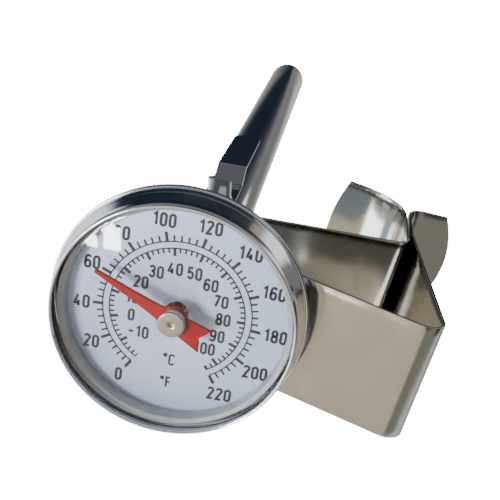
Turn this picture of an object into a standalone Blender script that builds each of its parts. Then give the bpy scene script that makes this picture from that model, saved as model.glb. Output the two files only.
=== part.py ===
"""Pocket dial thermometer with a jug clip and a sheath, in metres, +Z up.

The row's origin is the point where the clip's two leaves pinch a jug's rim. The stem hangs
down beside it, parallel to Z, and the dial faces up. Heights called "depth" are measured
from the dial plate's face along the stem, towards its tip.
"""

import math

import bmesh
import bpy
from mathutils import Matrix, Vector

MM = 0.001
GAP = 0.3 * MM

# Placing of the stem's axis and the dial's face about the pinched rim.
JAW_REACH = 27.3 * MM
JAW_DEPTH = 34.0 * MM
DIAL_TURN = math.radians(7.6)

# Head.
RIM_RADIUS = 14.65 * MM
SKIRT_RADIUS = 15.35 * MM
FLANGE_RADIUS = 15.6 * MM
CASE_BACK_DEPTH = 2.8 * MM
CASE_WALL = 0.4 * MM
LENS_RADIUS = 13.95 * MM
LENS_EDGE_HEIGHT = 3.1 * MM
LENS_RISE = 1.5 * MM
LENS_THICK = 0.9 * MM
DIAL_RADIUS = 14.3 * MM
DIAL_THICK = 0.4 * MM
DIAL_HOLE = 1.4 * MM
WINDOW_RADIUS = 13.4 * MM
RING_OUTER = 14.0 * MM

# Pointer and what turns it.
POINTER_TURN = math.radians(64.6)
POINTER_TIP = 10.7 * MM
POINTER_TAIL = 4.4 * MM
POINTER_HEIGHT = 2.1 * MM
POINTER_THICK = 0.4 * MM
HUB_RADIUS = 1.65 * MM
SPINDLE_RADIUS = 0.5 * MM
SPINDLE_END = 90.0 * MM
COIL_RADIUS = 1.05 * MM
COIL_TURNS = 12
COIL_LENGTH = 40.0 * MM

# Stem.
STEM_RADIUS = 1.9 * MM
STEM_BORE = 1.6 * MM
STEM_END = 136.0 * MM
RUNNING_BORE = STEM_RADIUS + GAP
NUT_FLATS = 7.0 * MM

# Sheath.
SHEATH_RADIUS = 4.275 * MM
SHEATH_BORE = 3.85 * MM
SHEATH_MOUTH = 19.0 * MM
SHEATH_END = 146.5 * MM
END_CAP_THICK = 1.2 * MM

# Pocket clip on the sheath: distances are from the stem's axis, on the dial's upper side.
POCKET_WIDTH = 4.6 * MM
POCKET_THICK = 0.5 * MM
POCKET_BASE = 4.85 * MM
POCKET_ARM_NEAR = 6.95 * MM
POCKET_ARM_FAR = 6.5 * MM
POCKET_SEAM = 35.2 * MM
POCKET_RISER_END = 39.0 * MM
POCKET_END = 56.5 * MM
TAB_TOP = 9.1 * MM
TAB_WIDTH = 3.4 * MM
RIVET_DEPTH = 31.5 * MM

# Jug clip, one bent strip: the reach is measured from the stem's axis.
STRIP_WIDTH = 15.8 * MM
STRIP_THICK = 0.35 * MM
FRONT_DEPTH = 6.35 * MM
FRONT_SLOPE = -0.222
REAR_DEPTH = 16.05 * MM
REAR_SLOPE = 0.3656
FOLD_REACH = -11.6 * MM
FOLD_RADIUS = 1.85 * MM
INNER_LEAF = 26.95 * MM
OUTER_LEAF = 27.65 * MM
SEAM_REACH = 26.6 * MM
CORNER_RADIUS = 2.5 * MM
LEG_TOP_REACH = 30.2 * MM
LEG_TOP_DEPTH = 5.0 * MM
LEG_END_DEPTH = 30.5 * MM
INNER_LIP_DEPTH = 45.2 * MM
INNER_LIP_RADIUS = 8.0 * MM
INNER_LIP_LENGTH = 9.2 * MM
INNER_LIP_SWELL = 1.4 * MM
OUTER_LIP_DEPTH = 42.2 * MM
OUTER_LIP_RADIUS = 3.5 * MM
OUTER_LIP_LENGTH = 6.4 * MM
OUTER_LIP_SWELL = 2.25 * MM
LIP_FLARE = math.radians(80)

RING_STEPS = 48
TUBE_STEPS = 32
STRIP_COLUMNS = 6


def clear_scene():
    for obj in list(bpy.data.objects):
        bpy.data.objects.remove(obj, do_unlink=True)


def new_collection(name):
    found = bpy.data.collections.new(name)
    bpy.context.scene.collection.children.link(found)
    return found


def principled(name, color, roughness, metallic, alpha=1.0):
    made = bpy.data.materials.new(name)
    made.use_nodes = True
    shader = made.node_tree.nodes["Principled BSDF"]
    shader.inputs["Base Color"].default_value = (*color, 1.0)
    shader.inputs["Roughness"].default_value = roughness
    shader.inputs["Metallic"].default_value = metallic
    shader.inputs["Alpha"].default_value = alpha
    return made


clear_scene()
PARTS = new_collection("dial_thermometer")
CUTTERS = new_collection("cutters")

CHROME = principled("chrome", (0.72, 0.73, 0.75), 0.08, 1.0)
STEEL = principled("brushed_steel", (0.62, 0.59, 0.54), 0.32, 1.0)
BRASS = principled("brass", (0.72, 0.58, 0.33), 0.35, 1.0)
NICKEL = principled("nickel", (0.68, 0.64, 0.56), 0.25, 1.0)
BIMETAL = principled("bimetal", (0.58, 0.55, 0.5), 0.4, 1.0)
DIAL_PAINT = principled("dial_paint", (0.8, 0.82, 0.88), 0.45, 0.3)
RED_PAINT = principled("red_paint", (0.65, 0.05, 0.05), 0.45, 0.0)
CLEAR = principled("clear_lens", (0.95, 0.97, 1.0), 0.03, 0.0, 0.2)
RUBBER = principled("seal_rubber", (0.1, 0.1, 0.1), 0.7, 0.0)
NYLON = principled("nylon", (0.82, 0.8, 0.74), 0.5, 0.0)


def empty(name, location, turn=0.0):
    made = bpy.data.objects.new(name, None)
    made.location = location
    made.rotation_euler = (0.0, 0.0, turn)
    PARTS.objects.link(made)
    return made


# The stem's axis, with the dial's face at its height; its X is the dial's right-hand side.
STEM_AXIS = empty("stem_axis", (-JAW_REACH, 0.0, JAW_DEPTH), DIAL_TURN)
CLIP_AXIS = empty("clip_axis", (-JAW_REACH, 0.0, JAW_DEPTH))


def place(obj, material, parent, smooth_angle=40):
    PARTS.objects.link(obj)
    obj.parent = parent
    obj.data.materials.append(material)
    if obj.type == "MESH":
        obj.data.shade_smooth()
        obj.data.set_sharp_from_angle(angle=math.radians(smooth_angle))
    return obj


def mesh_object(name, points, edges, faces):
    mesh = bpy.data.meshes.new(name)
    mesh.from_pydata([tuple(p) for p in points], edges, faces)
    mesh.update()
    return bpy.data.objects.new(name, mesh)


def turned(name, profile, material, parent=STEM_AXIS, steps=RING_STEPS):
    """A turned piece. The profile lists (radius, height), down the outer side from its top.

    A profile that starts and ends on the axis makes a solid of its own; any other is a ring.
    """
    count = len(profile)
    on_axis = profile[0][0] == 0.0
    edges = [(i, i + 1) for i in range(count - 1)]
    if not on_axis:
        edges.append((count - 1, 0))
    obj = mesh_object(name, [(r, 0.0, z) for r, z in profile], edges, [])
    screw = obj.modifiers.new("turn", "SCREW")
    screw.steps = steps
    screw.render_steps = steps
    screw.use_merge_vertices = True
    screw.merge_threshold = 1e-6
    return place(obj, material, parent)


def tube(name, outer, bore, top, bottom, material, steps=TUBE_STEPS):
    """A plain turned ring between two depths."""
    profile = [(outer, -top), (outer, -bottom), (bore, -bottom), (bore, -top)]
    return turned(name, profile, material, steps=steps)


def upright_cutter(name, radius, low, high, parent, location=(0.0, 0.0, 0.0), tilt=0.0):
    """A round cutter along its own Z from low to high."""
    made = bmesh.new()
    middle = Matrix.Translation((0.0, 0.0, (low + high) / 2))
    bmesh.ops.create_cone(
        made,
        cap_ends=True,
        segments=24,
        radius1=radius,
        radius2=radius,
        depth=high - low,
        matrix=middle,
    )
    mesh = bpy.data.meshes.new(name)
    made.to_mesh(mesh)
    made.free()
    obj = bpy.data.objects.new(name, mesh)
    obj.parent = parent
    obj.location = location
    obj.rotation_euler = (tilt, 0.0, 0.0)
    obj.hide_render = True
    obj.display_type = "WIRE"
    CUTTERS.objects.link(obj)
    return obj


def cut(obj, cutter):
    bore = obj.modifiers.new("cut_" + cutter.name, "BOOLEAN")
    bore.operation = "DIFFERENCE"
    bore.solver = "EXACT"
    bore.object = cutter


def rounded_path(corners, radii, pieces=7):
    """The corners joined by straight runs, each inner corner rounded to its radius."""
    path = [Vector(corners[0])]
    for before, corner, after, radius in zip(corners, corners[1:], corners[2:], radii):
        corner = Vector(corner)
        into = (corner - Vector(before)).normalized()
        out = (Vector(after) - corner).normalized()
        turn = into.angle(out)
        run = radius * math.tan(turn / 2)
        inward = (out - into).normalized()
        centre = corner + inward * (radius / math.cos(turn / 2))
        first = corner - into * run - centre
        last = corner + out * run - centre
        for i in range(pieces + 1):
            share = i / pieces
            spoke = first * math.sin((1 - share) * turn) + last * math.sin(share * turn)
            path.append(centre + spoke / math.sin(turn))
    path.append(Vector(corners[-1]))
    return path


def strip(name, path, width_at, thick, swell, material, parent, origin, across, out):
    """A bent strip of sheet metal: an open surface along a path, then Solidify.

    Each path point is (out, depth). width_at gives the strip's width for a share of the path,
    and swell(share across from -1 to 1) is how far its last edge bulges beyond the path's end.
    """
    points = []
    last = len(path) - 1
    ending = (path[-1] - path[-2]).normalized()
    for row, spot in enumerate(path):
        width = width_at(row / last)
        for column in range(STRIP_COLUMNS + 1):
            share = 2 * column / STRIP_COLUMNS - 1
            here = spot
            if row == last:
                here = spot + ending * swell(share)
            place_at = out * here.x + Vector((0, 0, -here.y)) + across * (share * width / 2)
            points.append(place_at - origin)
    wide = STRIP_COLUMNS + 1
    faces = [
        (a, a + 1, a + 1 + wide, a + wide)
        for row in range(last)
        for a in range(row * wide, row * wide + STRIP_COLUMNS)
    ]
    obj = mesh_object(name, points, [], faces)
    obj.location = origin
    shell = obj.modifiers.new("sheet", "SOLIDIFY")
    shell.thickness = thick
    shell.offset = 0.0
    shell.use_even_offset = True
    return place(obj, material, parent, smooth_angle=50)


def on_line(depth, slope, reach):
    return (reach, depth + slope * reach)


def arc_swell(height):
    """The end of a strip cut to a shallow arc."""
    return lambda share: height * (1 - share * share)


def square_end(share):
    return 0.0


# --- Head -----------------------------------------------------------------------------


def make_head():
    turned(
        "bezel_ring",
        [
            (14.35 * MM, 3.6 * MM),
            (14.55 * MM, 3.45 * MM),
            (RIM_RADIUS, 3.1 * MM),
            (14.72 * MM, 2.5 * MM),
            (SKIRT_RADIUS - 0.1 * MM, 0.1 * MM),
            (SKIRT_RADIUS, -0.35 * MM),
            (SKIRT_RADIUS - 0.4 * MM, -0.35 * MM),
            (SKIRT_RADIUS - 0.5 * MM, 0.1 * MM),
            (14.3 * MM, 2.5 * MM),
            (14.25 * MM, 3.45 * MM),
        ],
        CHROME,
    )
    floor = -CASE_BACK_DEPTH
    neck_hole = 3.2 * MM
    case = turned(
        "case_back",
        [
            (FLANGE_RADIUS - 0.15 * MM, -0.65 * MM),
            (FLANGE_RADIUS, -0.9 * MM),
            (FLANGE_RADIUS - 0.1 * MM, -1.3 * MM),
            (15.0 * MM, -1.9 * MM),
            (14.2 * MM, -2.45 * MM),
            (13.2 * MM, floor),
            (neck_hole, floor),
            (neck_hole, floor + CASE_WALL),
            (13.0 * MM, floor + CASE_WALL),
            (13.7 * MM, -2.0 * MM),
            (13.85 * MM, -0.65 * MM),
        ],
        CHROME,
    )
    turned(
        "dial_plate",
        [
            (DIAL_RADIUS, 0.0),
            (DIAL_RADIUS, -DIAL_THICK),
            (DIAL_HOLE, -DIAL_THICK),
            (DIAL_HOLE, 0.0),
        ],
        DIAL_PAINT,
    )
    ring = [(RING_OUTER, 1.3), (RING_OUTER, 0.3), (WINDOW_RADIUS, 0.3), (WINDOW_RADIUS, 1.3)]
    turned("dial_spacer_ring", [(r, z * MM) for r, z in ring], NICKEL)
    seal = WINDOW_RADIUS + 0.1 * MM
    ring = [(RING_OUTER, 1.9), (RING_OUTER, 1.6), (seal, 1.6), (seal, 1.9)]
    turned("lens_gasket", [(r, z * MM) for r, z in ring], RUBBER)
    make_lens()
    return case


def make_lens():
    """A clear disc whose middle stands proud as a shallow dome."""
    pieces = 6
    shares = [i / pieces for i in range(pieces + 1)]
    dome = 13.6 * MM
    top = [(dome * s, LENS_EDGE_HEIGHT + LENS_RISE * (1 - s * s)) for s in shares]
    under = [(r, z - LENS_THICK) for r, z in reversed(top)]
    edge = [
        (LENS_RADIUS, LENS_EDGE_HEIGHT - 0.05 * MM),
        (LENS_RADIUS, LENS_EDGE_HEIGHT - LENS_THICK),
    ]
    turned("lens", top + edge + under, CLEAR)


# --- Pointer and bimetal movement -------------------------------------------------------


def pointer_outline():
    """(along, across) of one side of the pointer, from its tip round to the tail's notch."""
    boss = 1.85 * MM
    side = [(10.6, 0.22), (8.7, 0.34), (5.2, 0.57), (1.7, 0.87)]
    points = [(POINTER_TIP, 0.0)] + [(a * MM, b * MM) for a, b in side]
    points += [(boss * math.cos(t), boss * math.sin(t)) for t in (0.9, 1.25, 1.6, 1.95)]
    points += [(-1.4 * MM, 1.3 * MM), (-2.6 * MM, 1.44 * MM)]
    points += [(-POINTER_TAIL, 1.64 * MM), (-POINTER_TAIL + 0.75 * MM, 0.0)]
    return points


def make_pointer():
    side = pointer_outline()
    outline = side + [(a, -b) for a, b in reversed(side[1:-1])]
    barrel_hole = 1.2 * MM
    hole = [
        (barrel_hole * math.cos(t), barrel_hole * math.sin(t))
        for t in (2 * math.pi * i / 16 for i in range(16))
    ]
    curve = bpy.data.curves.new("pointer", "CURVE")
    curve.dimensions = "2D"
    curve.fill_mode = "BOTH"
    curve.extrude = POINTER_THICK / 2
    for loop in (outline, hole):
        spline = curve.splines.new("POLY")
        spline.points.add(len(loop) - 1)
        for point, (along, across) in zip(spline.points, loop):
            point.co = (along, across, 0.0, 1.0)
        spline.use_cyclic_u = True
    obj = bpy.data.objects.new("pointer", curve)
    obj.location = (0.0, 0.0, POINTER_HEIGHT + POINTER_THICK / 2)
    obj.rotation_euler = (0.0, 0.0, math.pi / 2 + POINTER_TURN)
    place(obj, RED_PAINT, STEM_AXIS)
    cap = POINTER_HEIGHT + POINTER_THICK + GAP
    crown = cap + 0.65 * MM
    barrel = 0.9 * MM
    barrel_end = 1.6 * MM
    turned(
        "pointer_hub",
        [
            (0.0, crown - 0.15 * MM),
            (0.3 * MM, crown - 0.15 * MM),
            (0.45 * MM, crown),
            (HUB_RADIUS - 0.2 * MM, crown),
            (HUB_RADIUS, crown - 0.2 * MM),
            (HUB_RADIUS, cap),
            (barrel, cap),
            (barrel, barrel_end),
            (0.0, barrel_end),
        ],
        NICKEL,
        steps=24,
    )
    top = barrel_end - GAP
    turned(
        "spindle",
        [(0.0, top), (SPINDLE_RADIUS, top), (SPINDLE_RADIUS, -SPINDLE_END), (0.0, -SPINDLE_END)],
        STEEL,
        steps=16,
    )


def make_coil():
    """The bimetal ribbon, wound as a helix between the spindle's end and its anchor."""
    around = 12
    count = COIL_TURNS * around
    thick = 0.1 * MM
    high = 0.45 * MM
    corners = [(-thick, high), (thick, high), (thick, -high), (-thick, -high)]
    start = SPINDLE_END + GAP + high
    points = []
    for i in range(count + 1):
        angle = 2 * math.pi * i / around
        drop = start + (COIL_LENGTH - 2 * high) * i / count
        for wide, tall in corners:
            radius = COIL_RADIUS + wide
            points.append((radius * math.cos(angle), radius * math.sin(angle), tall - drop))
    faces = [(3, 2, 1, 0), tuple(4 * count + k for k in range(4))]
    for i in range(0, 4 * count, 4):
        for k in range(4):
            after = (k + 1) % 4
            faces.append((i + k, i + after, i + 4 + after, i + 4 + k))
    obj = mesh_object("bimetal_helix", points, [], faces)
    place(obj, BIMETAL, STEM_AXIS)


# --- Stem -------------------------------------------------------------------------------


def make_stem():
    tube("stem_tube", STEM_RADIUS, STEM_BORE, 1.2 * MM, STEM_END, STEEL, steps=24)
    spigot = STEM_BORE - GAP
    plug_top = STEM_END + GAP
    turned(
        "stem_tip_plug",
        [
            (0.0, -(STEM_END - 1.2 * MM)),
            (spigot, -(STEM_END - 1.2 * MM)),
            (spigot, -plug_top),
            (STEM_RADIUS, -plug_top),
            (STEM_RADIUS, -(plug_top + 0.8 * MM)),
            (STEM_RADIUS - 0.5 * MM, -(plug_top + 1.3 * MM)),
            (0.0, -(plug_top + 1.3 * MM)),
        ],
        STEEL,
        steps=24,
    )
    floor = CASE_BACK_DEPTH - CASE_WALL
    turned(
        "neck_bush",
        [
            (4.3 * MM, -(floor - GAP - 0.8 * MM)),
            (4.3 * MM, -(floor - GAP)),
            (2.85 * MM, -(floor - GAP)),
            (2.85 * MM, -3.0 * MM),
            (RUNNING_BORE, -3.0 * MM),
            (RUNNING_BORE, -(floor - GAP - 0.8 * MM)),
        ],
        BRASS,
        steps=TUBE_STEPS,
    )
    washer_top = CASE_BACK_DEPTH + GAP
    tube("friction_washer", 4.2 * MM, 3.3 * MM, washer_top, washer_top + 0.25 * MM, STEEL)
    nut_top = washer_top + 0.25 * MM + GAP
    make_nut(nut_top, nut_top + 1.3 * MM)
    guide = STEM_BORE - GAP
    bore = SPINDLE_RADIUS + GAP
    tube("upper_spindle_guide", guide, bore, 2.0 * MM, 5.0 * MM, BRASS, steps=16)
    tube("lower_spindle_guide", guide, bore, 84.0 * MM, 86.0 * MM, BRASS, steps=16)
    anchor = SPINDLE_END + 2 * GAP + COIL_LENGTH
    turned(
        "coil_anchor",
        [(0.0, -anchor), (guide, -anchor), (guide, -anchor - MM), (0.0, -anchor - MM)],
        BRASS,
        steps=16,
    )


def make_nut(top, bottom):
    """The six-sided calibration nut under the case, bored for the stem."""
    made = bmesh.new()
    bmesh.ops.create_cone(
        made,
        cap_ends=True,
        segments=6,
        radius1=NUT_FLATS / math.sqrt(3),
        radius2=NUT_FLATS / math.sqrt(3),
        depth=bottom - top,
        matrix=Matrix.Translation((0.0, 0.0, -(top + bottom) / 2)),
    )
    mesh = bpy.data.meshes.new("calibration_nut")
    made.to_mesh(mesh)
    made.free()
    nut = bpy.data.objects.new("calibration_nut", mesh)
    place(nut, CHROME, STEM_AXIS, smooth_angle=20)
    cut(nut, upright_cutter("nut_bore", RUNNING_BORE, -2 * bottom, 0.0, STEM_AXIS))


# --- Sheath and its pocket clip ---------------------------------------------------------


def make_sheath():
    body_end = SHEATH_END - END_CAP_THICK - GAP
    sheath = turned(
        "sheath_tube",
        [
            (SHEATH_RADIUS - 0.12 * MM, -SHEATH_MOUTH),
            (SHEATH_RADIUS, -(SHEATH_MOUTH + 0.15 * MM)),
            (SHEATH_RADIUS, -body_end),
            (SHEATH_BORE, -body_end),
            (SHEATH_BORE, -SHEATH_MOUTH),
        ],
        CHROME,
        steps=TUBE_STEPS,
    )
    spigot = SHEATH_BORE - GAP
    disc = SHEATH_END - END_CAP_THICK
    rounding = 0.5 * MM
    turned(
        "sheath_end_cap",
        [
            (0.0, -(body_end - 1.8 * MM)),
            (spigot, -(body_end - 1.8 * MM)),
            (spigot, -disc),
            (SHEATH_RADIUS, -disc),
            (SHEATH_RADIUS, -(SHEATH_END - rounding)),
            (SHEATH_RADIUS - 0.15 * MM, -(SHEATH_END - 0.15 * MM)),
            (SHEATH_RADIUS - rounding, -SHEATH_END),
            (0.0, -SHEATH_END),
        ],
        CHROME,
        steps=TUBE_STEPS,
    )
    grip_top = SHEATH_MOUTH + GAP
    tube("sheath_grip_bush", spigot, RUNNING_BORE, grip_top, 27.0 * MM, NYLON, steps=24)
    return sheath


def make_pocket_clip(sheath):
    """The spring strip riveted to the sheath: thumb tab, base and riser, then the arm."""
    across = Vector((1, 0, 0))
    out = Vector((0, 1, 0))
    tab_path = rounded_path(
        [(TAB_TOP, 24.8 * MM), (POCKET_BASE, 27.7 * MM), (POCKET_BASE, POCKET_SEAM - GAP)],
        [0.9 * MM],
        pieces=5,
    )
    base = strip(
        "pocket_clip_base",
        tab_path,
        lambda share: TAB_WIDTH + (POCKET_WIDTH - TAB_WIDTH) * min(1.0, 3 * share),
        POCKET_THICK,
        square_end,
        CHROME,
        STEM_AXIS,
        Vector((0, 0, 0)),
        across,
        out,
    )
    hinge = Vector((0.0, POCKET_BASE, -POCKET_SEAM))
    arm_path = rounded_path(
        [
            (POCKET_BASE, POCKET_SEAM),
            (POCKET_BASE, 36.0 * MM),
            (POCKET_ARM_NEAR, POCKET_RISER_END),
            (POCKET_ARM_FAR, POCKET_END),
        ],
        [0.7 * MM, 0.8 * MM],
        pieces=4,
    )
    round_end = POCKET_WIDTH / 2
    strip(
        "pocket_clip_arm",
        arm_path,
        lambda share: POCKET_WIDTH,
        POCKET_THICK,
        lambda share: round_end * math.sqrt(1 - 0.98 * share * share),
        CHROME,
        STEM_AXIS,
        hinge,
        across,
        out,
    )
    make_rivet(base, sheath)


def make_rivet(base, sheath):
    """The rivet lies along the dial's upward direction, through the strip and the sheath."""
    laid = -math.pi / 2
    at = (0.0, 0.0, -RIVET_DEPTH)
    shank = 0.5 * MM
    under_head = POCKET_BASE + POCKET_THICK / 2 + GAP
    inner_head = 3.4 * MM
    rivet = turned(
        "pocket_clip_rivet",
        [
            (0.0, under_head + 0.5 * MM),
            (0.7 * MM, under_head + 0.4 * MM),
            (1.15 * MM, under_head),
            (shank, under_head),
            (shank, inner_head),
            (1.0 * MM, inner_head),
            (1.0 * MM, inner_head - 0.4 * MM),
            (0.0, inner_head - 0.4 * MM),
        ],
        STEEL,
        steps=16,
    )
    rivet.location = at
    rivet.rotation_euler = (laid, 0.0, 0.0)
    hole = upright_cutter(
        "rivet_hole", shank + GAP, 3.0 * MM, 6.0 * MM, STEM_AXIS, location=at, tilt=laid
    )
    cut(base, hole)
    cut(sheath, hole)


# --- Jug clip ---------------------------------------------------------------------------


def make_jug_clip():
    """The strip that grips a jug's rim, split at its front corner so that it can open."""
    across = Vector((0, 1, 0))
    out = Vector((1, 0, 0))
    flare = Vector((math.sin(LIP_FLARE), math.cos(LIP_FLARE)))
    lip_corner = Vector((INNER_LEAF, INNER_LIP_DEPTH))
    lip_end = lip_corner + Vector((-flare.x, flare.y)) * INNER_LIP_LENGTH
    band_path = rounded_path(
        [
            on_line(FRONT_DEPTH, FRONT_SLOPE, SEAM_REACH - GAP / 2),
            on_line(FRONT_DEPTH, FRONT_SLOPE, FOLD_REACH),
            on_line(REAR_DEPTH, REAR_SLOPE, FOLD_REACH),
            on_line(REAR_DEPTH, REAR_SLOPE, INNER_LEAF),
            lip_corner,
            lip_end,
        ],
        [FOLD_RADIUS, FOLD_RADIUS, 3.0 * MM, INNER_LIP_RADIUS],
    )
    band = strip(
        "jug_clip_band",
        band_path,
        lambda share: STRIP_WIDTH,
        STRIP_THICK,
        arc_swell(INNER_LIP_SWELL),
        STEEL,
        CLIP_AXIS,
        Vector((0, 0, 0)),
        across,
        out,
    )
    cut(band, upright_cutter("stem_holes", RUNNING_BORE, -20 * MM, -3 * MM, CLIP_AXIS))

    seam = on_line(FRONT_DEPTH, FRONT_SLOPE, SEAM_REACH)
    hinge = Vector((seam[0], 0.0, -seam[1]))
    lean = (OUTER_LEAF - LEG_TOP_REACH) / (LEG_END_DEPTH - LEG_TOP_DEPTH)
    corner_reach = LEG_TOP_REACH + lean * (FRONT_DEPTH - LEG_TOP_DEPTH)
    corner_reach = corner_reach / (1 - lean * FRONT_SLOPE)
    lip_corner = Vector((OUTER_LEAF, OUTER_LIP_DEPTH))
    leaf_path = rounded_path(
        [
            on_line(FRONT_DEPTH, FRONT_SLOPE, SEAM_REACH + GAP / 2),
            on_line(FRONT_DEPTH, FRONT_SLOPE, corner_reach),
            (OUTER_LEAF, LEG_END_DEPTH),
            lip_corner,
            lip_corner + flare * OUTER_LIP_LENGTH,
        ],
        [CORNER_RADIUS, 12.0 * MM, OUTER_LIP_RADIUS],
    )
    strip(
        "jug_clip_outer_leaf",
        leaf_path,
        lambda share: STRIP_WIDTH,
        STRIP_THICK,
        arc_swell(OUTER_LIP_SWELL),
        STEEL,
        CLIP_AXIS,
        hinge,
        across,
        out,
    )


make_head()
make_pointer()
make_coil()
make_stem()
make_pocket_clip(make_sheath())
make_jug_clip()
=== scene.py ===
import math

import bmesh
import bpy
from mathutils import Matrix, Vector


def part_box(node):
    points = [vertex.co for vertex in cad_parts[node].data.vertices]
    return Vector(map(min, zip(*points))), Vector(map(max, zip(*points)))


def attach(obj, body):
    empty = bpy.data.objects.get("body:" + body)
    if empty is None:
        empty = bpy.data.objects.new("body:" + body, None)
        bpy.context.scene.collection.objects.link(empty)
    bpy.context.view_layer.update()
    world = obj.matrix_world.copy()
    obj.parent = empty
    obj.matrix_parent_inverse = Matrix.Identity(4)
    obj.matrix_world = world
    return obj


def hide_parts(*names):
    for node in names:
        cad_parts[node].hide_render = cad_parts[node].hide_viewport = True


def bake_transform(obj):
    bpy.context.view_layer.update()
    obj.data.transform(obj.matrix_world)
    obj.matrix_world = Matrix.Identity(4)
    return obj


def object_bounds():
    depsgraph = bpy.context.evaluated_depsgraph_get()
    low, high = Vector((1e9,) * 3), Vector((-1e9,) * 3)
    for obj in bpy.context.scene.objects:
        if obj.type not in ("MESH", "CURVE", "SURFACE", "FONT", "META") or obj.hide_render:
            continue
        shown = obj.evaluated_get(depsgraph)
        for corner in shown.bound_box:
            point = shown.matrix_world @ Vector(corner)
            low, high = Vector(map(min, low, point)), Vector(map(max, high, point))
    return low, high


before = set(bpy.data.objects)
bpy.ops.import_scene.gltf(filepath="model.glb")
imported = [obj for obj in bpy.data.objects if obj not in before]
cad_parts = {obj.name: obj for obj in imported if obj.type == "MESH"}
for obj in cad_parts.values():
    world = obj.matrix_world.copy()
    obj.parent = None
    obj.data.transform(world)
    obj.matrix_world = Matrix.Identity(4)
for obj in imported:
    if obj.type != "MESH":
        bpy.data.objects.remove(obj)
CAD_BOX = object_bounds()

MM = 0.001

# Shapes are made in millimetres about the middle of the dial's face, with Z up the stem's axis.
# The jug clip is straight in the row frame. The dial and the pocket clip are turned from it.
DIAL_LOW, DIAL_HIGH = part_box("dial_plate")
AXIS_X = (DIAL_LOW.x + DIAL_HIGH.x) / 2
AXIS_Y = (DIAL_LOW.y + DIAL_HIGH.y) / 2
DIAL_Z = DIAL_HIGH.z
DIAL_TURN = math.radians(7.6)
ON_CLIP = Matrix.Translation((AXIS_X, AXIS_Y, DIAL_Z))
ON_DIAL = ON_CLIP @ Matrix.Rotation(DIAL_TURN, 4, "Z")

# How many flat sides stand in for a circle.
HEAD_SIDES = 192
SHEATH_SIDES = 128
SMALL_SIDES = 96
STEM_SIDES = 64
RIVET_SIDES = 48


# ------------------------------------------------------------------ materials


def new_material(name):
    made = bpy.data.materials.new(name)
    made.use_nodes = True
    tree = made.node_tree
    return made, tree, tree.nodes["Principled BSDF"]


def node(tree, kind, **settings):
    made = tree.nodes.new(kind)
    for key, value in settings.items():
        setattr(made, key, value)
    return made


def coordinates(tree, scale=(1, 1, 1)):
    source = node(tree, "ShaderNodeTexCoord")
    mapping = node(tree, "ShaderNodeMapping")
    mapping.inputs["Scale"].default_value = scale
    tree.links.new(source.outputs["Object"], mapping.inputs["Vector"])
    return mapping.outputs["Vector"]


def noise(tree, vector, scale, detail=3.0, roughness=0.5):
    made = node(tree, "ShaderNodeTexNoise")
    made.inputs["Scale"].default_value = scale
    made.inputs["Detail"].default_value = detail
    made.inputs["Roughness"].default_value = roughness
    tree.links.new(vector, made.inputs["Vector"])
    return made.outputs["Fac"]


def ranged(tree, value, low, high, to_low, to_high):
    made = node(tree, "ShaderNodeMapRange")
    made.inputs["From Min"].default_value = low
    made.inputs["From Max"].default_value = high
    made.inputs["To Min"].default_value = to_low
    made.inputs["To Max"].default_value = to_high
    tree.links.new(value, made.inputs["Value"])
    return made.outputs["Result"]


def calculated(tree, operation, *values, clamp=False):
    made = node(tree, "ShaderNodeMath", operation=operation, use_clamp=clamp)
    for value, socket in zip(values, made.inputs):
        tree.links.new(value, socket)
    return made.outputs["Value"]


def colored(tree, value, stops):
    ramp = node(tree, "ShaderNodeValToRGB")
    elements = ramp.color_ramp.elements
    while len(elements) < len(stops):
        elements.new(0.5)
    for element, (place, color) in zip(elements, stops):
        element.position = place
        element.color = (*color, 1.0)
    tree.links.new(value, ramp.inputs["Fac"])
    return ramp.outputs["Color"]


def bumped(tree, shader, height, strength, distance):
    bump = node(tree, "ShaderNodeBump")
    bump.inputs["Strength"].default_value = strength
    bump.inputs["Distance"].default_value = distance
    tree.links.new(height, bump.inputs["Height"])
    tree.links.new(bump.outputs["Normal"], shader.inputs["Normal"])


def mixed_surface(tree, share, first, second, output="Material Output"):
    """Makes a mix of two shaders the surface: the first at share 0, the second at share 1."""
    mix = node(tree, "ShaderNodeMixShader")
    tree.links.new(share, mix.inputs["Fac"])
    tree.links.new(first, mix.inputs[1])
    tree.links.new(second, mix.inputs[2])
    tree.links.new(mix.outputs["Shader"], tree.nodes[output].inputs["Surface"])


# Sizes of the patterns, in features per metre, and depths of the bumps, in metres.
CLOUDS = 90.0
SMEARS = 360.0
SMEAR_BUMP = 0.02
LENS_SMEARS = 160.0
METAL_DEPTH = 0.00002
PAINT_DEPTH = 0.00003
PAINT_SPREAD = 0.06


def metal(name, low, high, rough, rough_spread, grain=None, grain_bump=0.0):
    """A bare or plated metal: clouded tone, uneven roughness, and fine grain where it has some.

    grain is the grain's scale along X, Y and Z of the row frame, in lines per metre.
    """
    made, tree, shader = new_material(name)
    shader.inputs["Metallic"].default_value = 1.0
    even = coordinates(tree)
    soft = noise(tree, even, CLOUDS, 4.0)
    tone = colored(tree, soft, [(0.3, low), (0.7, high)])
    tree.links.new(tone, shader.inputs["Base Color"])
    smear = noise(tree, even, SMEARS, 5.0, 0.6)
    uneven = ranged(tree, smear, 0.35, 0.7, rough - rough_spread, rough + rough_spread)
    if grain:
        lines = noise(tree, coordinates(tree, grain), 1.0, 4.0, 0.7)
        bumped(tree, shader, lines, grain_bump, METAL_DEPTH)
        spread = ranged(tree, lines, 0.3, 0.7, -rough_spread, rough_spread)
        uneven = calculated(tree, "ADD", uneven, spread)
    else:
        bumped(tree, shader, smear, SMEAR_BUMP, METAL_DEPTH)
    tree.links.new(uneven, shader.inputs["Roughness"])
    return made


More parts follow.
